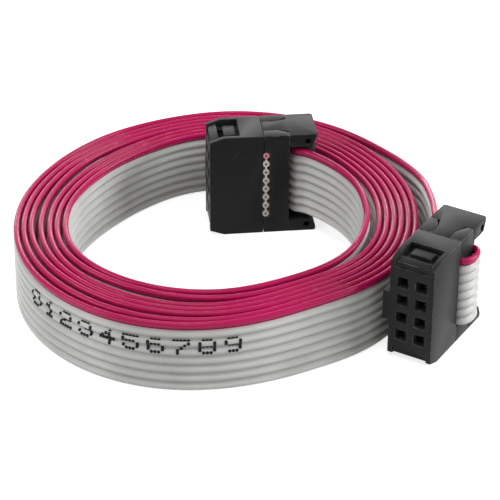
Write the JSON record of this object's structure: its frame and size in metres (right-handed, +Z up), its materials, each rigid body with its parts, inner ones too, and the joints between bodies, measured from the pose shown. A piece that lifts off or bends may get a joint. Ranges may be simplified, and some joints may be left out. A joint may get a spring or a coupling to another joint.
{
  "type": "ribbon cable assembly",
  "caption": "Flat grey ribbon cable with a red edge wire, wound on edge into a loose spiral, with a black crimped pin socket on each end.",
  "frame": {"origin": "centre of the bounding box on the surface that the coil rests on", "axes": "+X along the longest side of the bounding box, +Z up out of the coil, along the ribbon's width"},
  "size_m": [0.0602, 0.0554, 0.0148],
  "materials": {
    "grey_insulation": "light grey soft vinyl insulation, satin",
    "red_insulation": "crimson edge wire of the same soft vinyl, satin",
    "black_plastic": "black glass-filled moulded plastic, fine grain",
    "contact_metal": "stamped and plated spring bronze"
  },
  "bodies": {
    "root": {"grey_wires_coil": "grey_insulation", "grey_wires_inner_end": "grey_insulation", "grey_wires_outer_end": "grey_insulation", "red_wire_coil": "red_insulation", "red_wire_inner_end": "red_insulation", "red_wire_outer_end": "red_insulation", "inner_socket_body": "black_plastic", "inner_cover": "black_plastic", "inner_strain_relief": "black_plastic", "outer_socket_body": "black_plastic", "outer_cover": "black_plastic", "outer_strain_relief": "black_plastic", "inner_contact_1": "contact_metal", "inner_contact_2": "contact_metal", "inner_contact_3": "contact_metal", "inner_contact_4": "contact_metal", "inner_contact_5": "contact_metal", "inner_contact_6": "contact_metal", "inner_contact_7": "contact_metal", "inner_contact_8": "contact_metal", "outer_contact_1": "contact_metal", "outer_contact_2": "contact_metal", "outer_contact_3": "contact_metal", "outer_contact_4": "contact_metal", "outer_contact_5": "contact_metal", "outer_contact_6": "contact_metal", "outer_contact_7": "contact_metal", "outer_contact_8": "contact_metal"}
  },
  "joints": []
}
